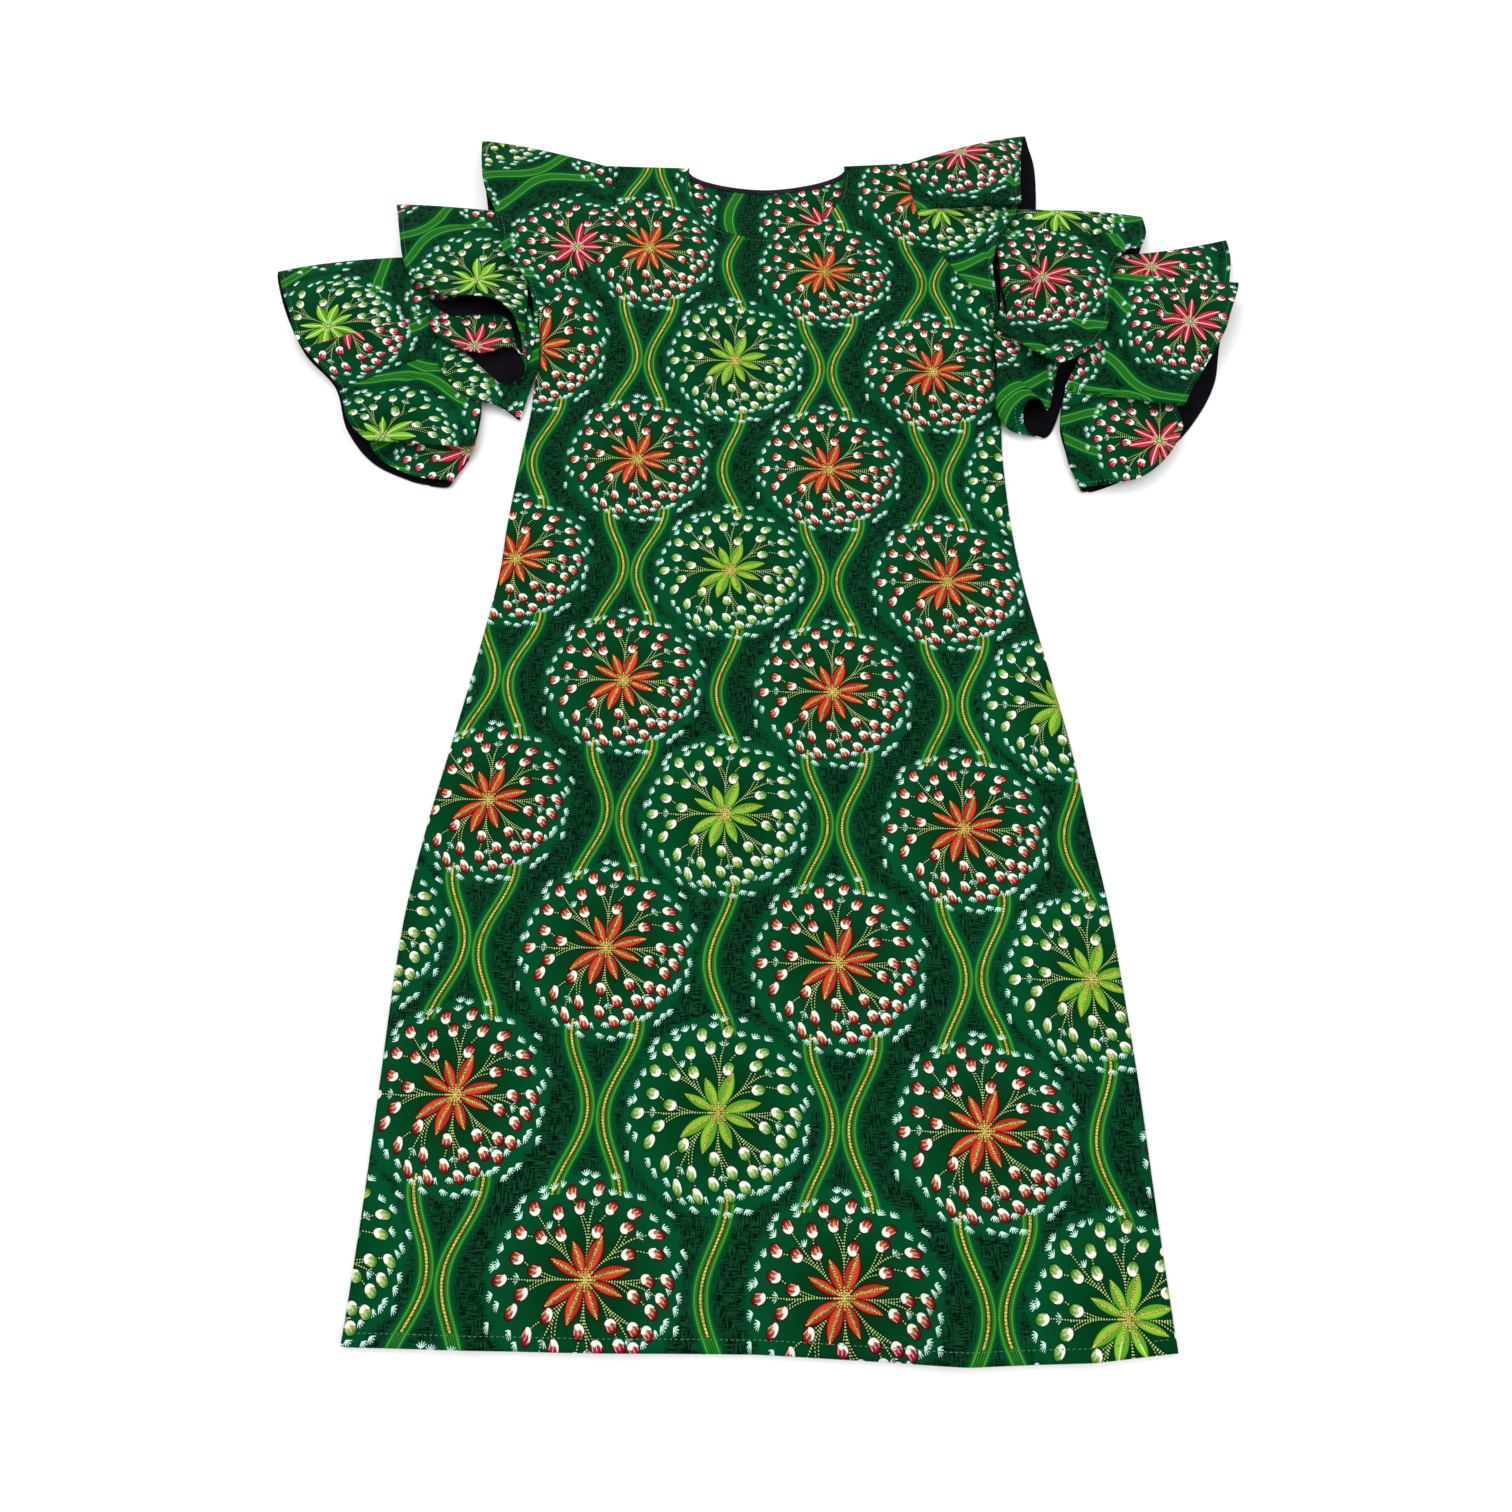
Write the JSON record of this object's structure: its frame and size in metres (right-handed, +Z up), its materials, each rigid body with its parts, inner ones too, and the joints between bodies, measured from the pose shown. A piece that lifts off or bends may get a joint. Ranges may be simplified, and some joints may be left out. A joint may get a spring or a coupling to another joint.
{
  "type": "bubu dress",
  "caption": "A-line bubu dress in floral wax print, laid flat with its front up, with a scooped neck and short sleeves of stacked circular flounces lined in black.",
  "frame": {"origin": "middle of the dress's box, on the surface that it lies on", "axes": "+Y from the hem towards the neck, +X to the right as seen from above, +Z up through the cloth"},
  "size_m": [1.1336, 1.341, 0.0306],
  "materials": {
    "body_print": "matte wax-print cotton with a faint sheen, front and back panels",
    "flounce_print": "the same wax-print cotton, on the flounces",
    "black_lining": "matte black lining cotton",
    "dark_binding": "matte dark woven binding",
    "sewing_thread": "spun sewing thread",
    "gold_stud": "small glued studs with a bright gold face"
  },
  "bodies": {
    "root": {"back_panel": "body_print", "front_panel": "body_print", "left_tier_1": "flounce_print", "left_tier_2": "flounce_print", "left_tier_3": "flounce_print", "right_tier_1": "flounce_print", "right_tier_2": "flounce_print", "right_tier_3": "flounce_print", "back_neck_binding": "dark_binding"}
  },
  "joints": []
}
